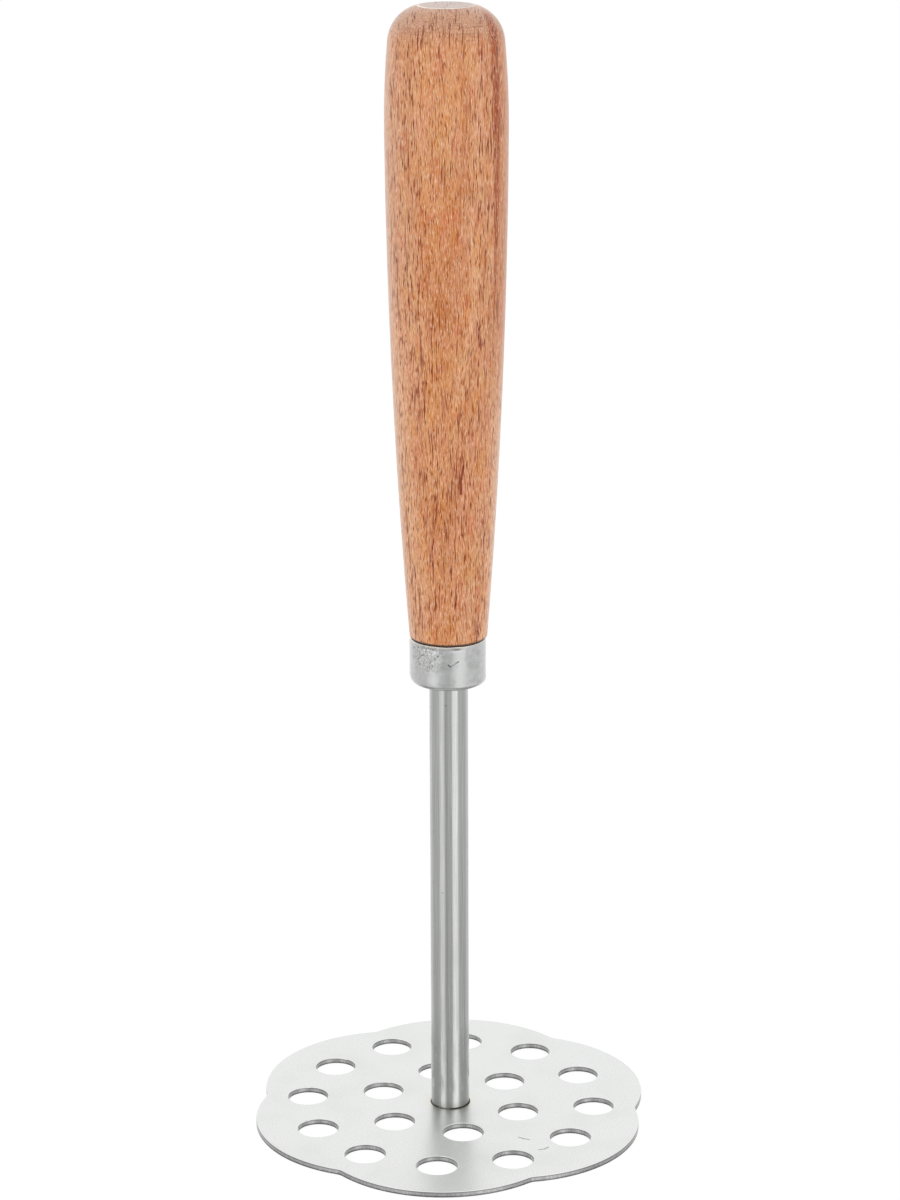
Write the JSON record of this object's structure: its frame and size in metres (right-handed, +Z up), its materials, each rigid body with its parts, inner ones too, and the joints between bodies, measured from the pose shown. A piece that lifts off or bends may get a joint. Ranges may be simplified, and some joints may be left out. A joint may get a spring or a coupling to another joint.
{
  "type": "potato masher",
  "caption": "Potato masher with a flat perforated plate with a scalloped outline, a straight tubular steel shaft, a metal ferrule and a turned beech handle.",
  "frame": {"origin": "centre of the plate's flat underside, on the tube's axis", "axes": "+Z up along the tube to the handle, -Y out through one lobe tip of the plate, which is the front"},
  "size_m": [0.0952, 0.1, 0.275],
  "materials": {
    "plate_steel": "fine matt, lightly scratched",
    "tube_steel": "satin, polished along its length",
    "weld_steel": "slightly darkened by heat",
    "ferrule_metal": "satin with small dents and scratches",
    "beech": "sanded, thin clear finish",
    "adhesive": "set adhesive"
  },
  "bodies": {
    "root": {"mashing_plate": "plate_steel", "shaft_tube": "tube_steel", "weld_bead": "weld_steel", "ferrule": "ferrule_metal", "handle": "beech", "tang_adhesive": "adhesive"}
  },
  "joints": []
}
